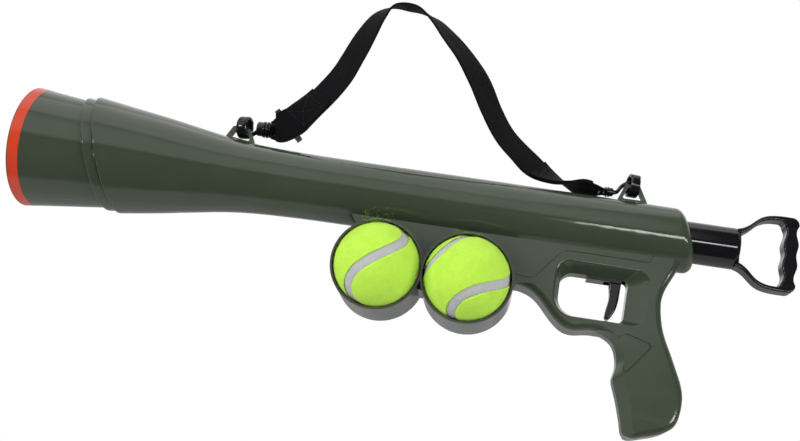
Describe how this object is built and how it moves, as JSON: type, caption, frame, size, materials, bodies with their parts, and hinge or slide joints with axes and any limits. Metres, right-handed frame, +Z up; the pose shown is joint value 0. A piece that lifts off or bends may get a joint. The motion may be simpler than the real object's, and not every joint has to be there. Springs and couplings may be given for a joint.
{
  "type": "dog tennis ball launcher",
  "caption": "Hand-held ball launcher with flared muzzle, pull-back plunger, trigger, pistol grip, side ball cups and a shoulder sling.",
  "frame": {"origin": "centre of the muzzle rim's front plane, on the bore axis", "axes": "+X along the bore from the muzzle to the rear, +Z up, -Y towards the ball cups' mouths"},
  "size_m": [0.5982, 0.0999, 0.3207],
  "materials": {
    "green_shell": "gloss",
    "orange_band": "gloss",
    "grey_plastic": "satin",
    "black_plastic": "satin",
    "black_tube": "gloss",
    "rubber_pad": "matt",
    "spring_steel": "drawn",
    "zinc_screw": "zinc",
    "webbing": "woven",
    "ball_rubber": "matt",
    "ball_felt": "felt"
  },
  "bodies": {
    "launcher": {"left_shell": "green_shell", "right_shell": "green_shell", "muzzle_collar": "green_shell", "rim_band": "orange_band", "spring_bulkhead": "grey_plastic", "rear_bush": "black_plastic", "trigger_pin": "spring_steel", "sear_pin": "spring_steel", "trigger_plate": "black_plastic", "shell_screws": "zinc_screw", "front_sling_loop": "green_shell", "rear_sling_loop": "green_shell"},
    "plunger": {"pump_tube": "black_tube", "plunger_head": "grey_plastic", "bumper_pad": "rubber_pad", "d_handle": "black_plastic", "main_spring": "spring_steel"},
    "trigger": {"trigger": "black_plastic", "trigger_spring": "spring_steel"},
    "sear": {"sear": "black_plastic", "sear_spring": "spring_steel"},
    "sling": {"strap_webbing": "webbing", "strap_slider": "black_plastic", "front_hook": "black_plastic", "front_swivel": "black_plastic", "rear_hook": "black_plastic", "rear_swivel": "black_plastic"},
    "front_gate": {"front_gate": "black_plastic"},
    "rear_gate": {"rear_gate": "black_plastic"},
    "front_ball": {"front_ball_core": "ball_rubber", "front_ball_felt": "ball_felt"},
    "rear_ball": {"rear_ball_core": "ball_rubber", "rear_ball_felt": "ball_felt"}
  },
  "joints": [
    {"name": "plunger_slide", "type": "slide", "parent": "launcher", "child": "plunger", "axis": [1, 0, 0], "range_m": [0, 0.13], "stiffness_N_per_m": 150, "springref_m": -0.08, "deforming": ["main_spring"]},
    {"name": "trigger_pull", "type": "hinge", "parent": "launcher", "child": "trigger", "pos_m": [0.471, 0, -0.0305], "axis": [0, -1, 0], "range_deg": [0, 10], "stiffness_Nm_per_rad": 0.2, "springref_deg": -5.73, "deforming": ["trigger_spring"]},
    {"name": "sear_drop", "type": "hinge", "parent": "launcher", "child": "sear", "pos_m": [0.426, 0, -0.027], "axis": [0, 1, 0], "range_deg": [0, 4.06], "deforming": ["sear_spring"]},
    {"name": "sling_swing", "type": "hinge", "parent": "launcher", "child": "sling", "pos_m": [0.1654, 0, 0.0387], "axis": [1, 0, -0.0067], "range_deg": [-15, 15]},
    {"name": "front_gate_press", "type": "hinge", "parent": "sling", "child": "front_gate", "pos_m": [0.16215, 0.00698, 0.04075], "axis": [0.9063, 0.4226, 0], "range_deg": [0, 15], "stiffness_Nm_per_rad": 0.02, "springref_deg": -5.73},
    {"name": "rear_gate_press", "type": "hinge", "parent": "sling", "child": "rear_gate", "pos_m": [0.47685, -0.00698, 0.03775], "axis": [-0.9063, -0.4226, 0], "range_deg": [0, 15], "stiffness_Nm_per_rad": 0.02, "springref_deg": -5.73},
    {"name": "front_ball_lift", "type": "slide", "parent": "launcher", "child": "front_ball", "axis": [0, -1, 0], "range_m": [0, 0.07]},
    {"name": "rear_ball_lift", "type": "slide", "parent": "launcher", "child": "rear_ball", "axis": [0, -1, 0], "range_m": [0, 0.07]}
  ],
  "couplings": [
    {"joint": "sear_drop", "follows": "trigger_pull", "ratio": 0.406}
  ]
}
